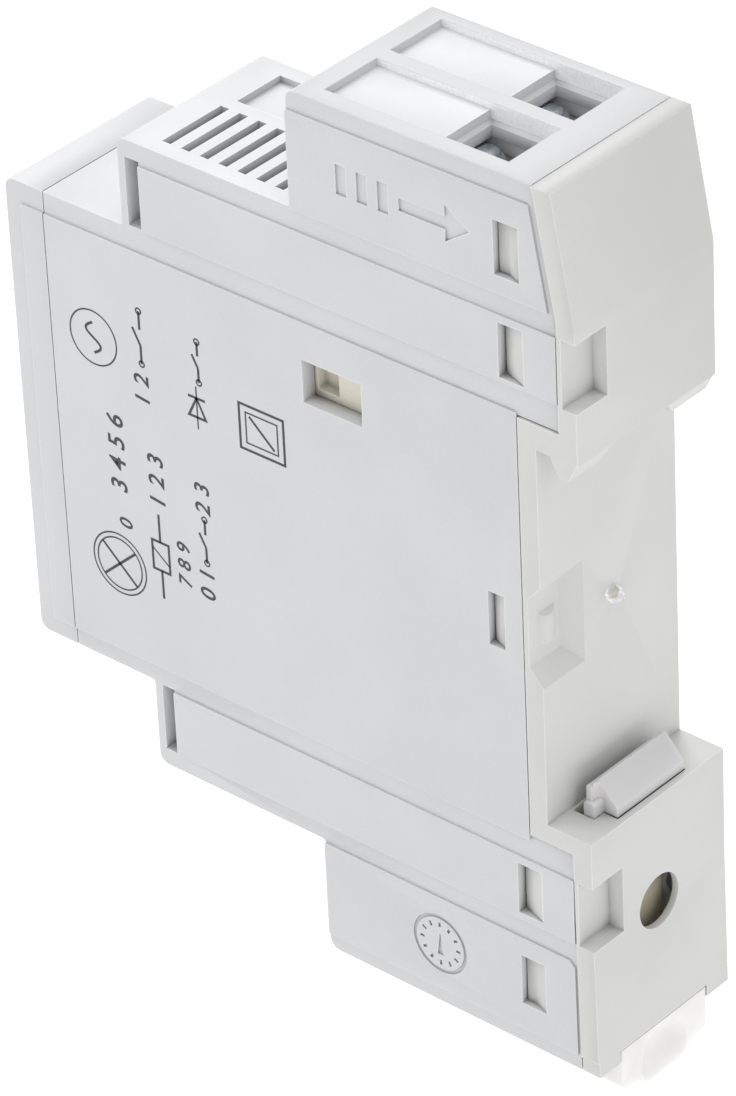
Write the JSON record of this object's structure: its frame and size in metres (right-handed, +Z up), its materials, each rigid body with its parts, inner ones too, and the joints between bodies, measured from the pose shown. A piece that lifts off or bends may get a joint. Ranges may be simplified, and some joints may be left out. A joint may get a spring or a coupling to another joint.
{
  "type": "modular relay contactor",
  "caption": "Slim one-module DIN-rail relay contactor with stepped housing, screw clamps, sprung rail clip and moving contact carrier.",
  "frame": {"origin": "middle of the DIN-rail seat: centre of the width, on the channel floor, halfway between the rail's edges", "axes": "+Z up when the rail is horizontal, -Y towards the front face, +Y into the rail, +X along the rail towards the side with the add-on windows"},
  "size_m": [0.0176, 0.0628, 0.09],
  "materials": {
    "housing_grey": "fine spark-eroded light grey",
    "base_grey": "fine spark-eroded, slightly warmer grey",
    "clip_white": "milky translucent",
    "carrier_beige": "satin",
    "flag_orange": "satin",
    "electrical_steel": "laminated, lightly oiled",
    "cushion_rubber": "matte",
    "bobbin_white": "satin",
    "enamelled_copper": "enamelled wire",
    "coil_tape": "polyester film",
    "spring_steel": "drawn wire",
    "board_green": "solder mask",
    "component_black": "moulded epoxy",
    "varistor_blue": "dipped epoxy",
    "capacitor_grey": "moulded box",
    "led_green": "clear epoxy",
    "light_pipe": "clear",
    "contact_copper": "rolled strip",
    "contact_silver": "silver alloy",
    "zinc_steel": "bright zinc plate"
  },
  "bodies": {
    "housing": {"main_housing": "housing_grey", "front_cap": "housing_grey", "rear_base": "base_grey", "magnet_core": "electrical_steel", "core_cushion": "cushion_rubber", "coil_bobbin": "bobbin_white", "coil_winding": "enamelled_copper", "coil_tape": "coil_tape", "coil_leads": "enamelled_copper", "circuit_board": "board_green", "bridge_rectifier": "component_black", "varistor": "varistor_blue", "film_capacitor": "capacitor_grey", "status_led": "led_green", "light_pipe": "light_pipe", "coil_strip_a1": "zinc_steel", "coil_strip_a2": "zinc_steel", "return_spring_upper": "spring_steel", "return_spring_lower": "spring_steel", "power_strip_1": "zinc_steel", "power_strip_2": "zinc_steel", "power_strip_3": "zinc_steel", "power_strip_4": "zinc_steel", "fixed_tip_1": "contact_silver", "fixed_tip_2": "contact_silver", "fixed_tip_3": "contact_silver", "fixed_tip_4": "contact_silver"},
    "clip": {"rail_clip": "clip_white", "clip_spring_legs": "clip_white"},
    "carrier": {"contact_carrier": "carrier_beige", "indicator_flag": "flag_orange", "armature": "electrical_steel", "contact_spring_1": "spring_steel", "contact_spring_2": "spring_steel"},
    "bridge_1": {"contact_bridge_1": "contact_copper", "bridge_tips_1": "contact_silver"},
    "bridge_2": {"contact_bridge_2": "contact_copper", "bridge_tips_2": "contact_silver"},
    "power_screw_1": {"power_screw_1": "zinc_steel"},
    "power_cage_1": {"power_cage_1": "zinc_steel"},
    "power_screw_2": {"power_screw_2": "zinc_steel"},
    "power_cage_2": {"power_cage_2": "zinc_steel"},
    "power_screw_3": {"power_screw_3": "zinc_steel"},
    "power_cage_3": {"power_cage_3": "zinc_steel"},
    "power_screw_4": {"power_screw_4": "zinc_steel"},
    "power_cage_4": {"power_cage_4": "zinc_steel"},
    "coil_screw_a1": {"coil_screw_a1": "zinc_steel"},
    "coil_cage_a1": {"coil_cage_a1": "zinc_steel"},
    "coil_screw_a2": {"coil_screw_a2": "zinc_steel"},
    "coil_cage_a2": {"coil_cage_a2": "zinc_steel"}
  },
  "joints": [
    {"name": "clip_pull", "type": "slide", "parent": "housing", "child": "clip", "axis": [0, 0, -1], "range_m": [0, 0.003], "stiffness_N_per_m": 2000, "springref_m": -0.0005, "deforming": ["clip_spring_legs"]},
    {"name": "carrier_stroke", "type": "slide", "parent": "housing", "child": "carrier", "axis": [0, 1, 0], "range_m": [0, 0.0026], "stiffness_N_per_m": 1000, "springref_m": -0.002, "deforming": ["return_spring_upper", "return_spring_lower"]},
    {"name": "bridge_1_yield", "type": "slide", "parent": "carrier", "child": "bridge_1", "axis": [0, -1, 0], "range_m": [0, 0.0009], "deforming": ["contact_spring_1"]},
    {"name": "bridge_2_yield", "type": "slide", "parent": "carrier", "child": "bridge_2", "axis": [0, -1, 0], "range_m": [0, 0.0009], "deforming": ["contact_spring_2"]},
    {"name": "power_cage_1_lift", "type": "slide", "parent": "housing", "child": "power_cage_1", "axis": [0, -1, 0], "range_m": [0, 0.0038]},
    {"name": "power_screw_1_turn", "type": "hinge", "parent": "housing", "child": "power_screw_1", "pos_m": [0.00362, -0.015, 0.0356], "axis": [0, 1, 0], "range_deg": [0, 1960]},
    {"name": "power_cage_2_lift", "type": "slide", "parent": "housing", "child": "power_cage_2", "axis": [0, -1, 0], "range_m": [0, 0.0038]},
    {"name": "power_screw_2_turn", "type": "hinge", "parent": "housing", "child": "power_screw_2", "pos_m": [0.00362, -0.015, -0.0356], "axis": [0, 1, 0], "range_deg": [0, 1960]},
    {"name": "power_cage_3_lift", "type": "slide", "parent": "housing", "child": "power_cage_3", "axis": [0, -1, 0], "range_m": [0, 0.0038]},
    {"name": "power_screw_3_turn", "type": "hinge", "parent": "housing", "child": "power_screw_3", "pos_m": [-0.00438, -0.015, 0.0356], "axis": [0, 1, 0], "range_deg": [0, 1960]},
    {"name": "power_cage_4_lift", "type": "slide", "parent": "housing", "child": "power_cage_4", "axis": [0, -1, 0], "range_m": [0, 0.0038]},
    {"name": "power_screw_4_turn", "type": "hinge", "parent": "housing", "child": "power_screw_4", "pos_m": [-0.00438, -0.015, -0.0356], "axis": [0, 1, 0], "range_deg": [0, 1960]},
    {"name": "coil_cage_a1_lift", "type": "slide", "parent": "housing", "child": "coil_cage_a1", "axis": [0, -1, 0], "range_m": [0, 0.00225]},
    {"name": "coil_screw_a1_turn", "type": "hinge", "parent": "housing", "child": "coil_screw_a1", "pos_m": [-0.0044, -0.037, 0.0258], "axis": [0, 1, 0], "range_deg": [0, 1625]},
    {"name": "coil_cage_a2_lift", "type": "slide", "parent": "housing", "child": "coil_cage_a2", "axis": [0, -1, 0], "range_m": [0, 0.00225]},
    {"name": "coil_screw_a2_turn", "type": "hinge", "parent": "housing", "child": "coil_screw_a2", "pos_m": [-0.0044, -0.037, -0.0258], "axis": [0, 1, 0], "range_deg": [0, 1625]}
  ],
  "couplings": [
    {"joint": "bridge_1_yield", "follows": "carrier_stroke", "ratio": 0.31231},
    {"joint": "bridge_2_yield", "follows": "carrier_stroke", "ratio": 0.31231},
    {"joint": "power_screw_1_turn", "follows": "power_cage_1_lift", "rad_per_m": 8976},
    {"joint": "power_screw_2_turn", "follows": "power_cage_2_lift", "rad_per_m": 8976},
    {"joint": "power_screw_3_turn", "follows": "power_cage_3_lift", "rad_per_m": 8976},
    {"joint": "power_screw_4_turn", "follows": "power_cage_4_lift", "rad_per_m": 8976},
    {"joint": "coil_screw_a1_turn", "follows": "coil_cage_a1_lift", "rad_per_m": 12566},
    {"joint": "coil_screw_a2_turn", "follows": "coil_cage_a2_lift", "rad_per_m": 12566}
  ]
}
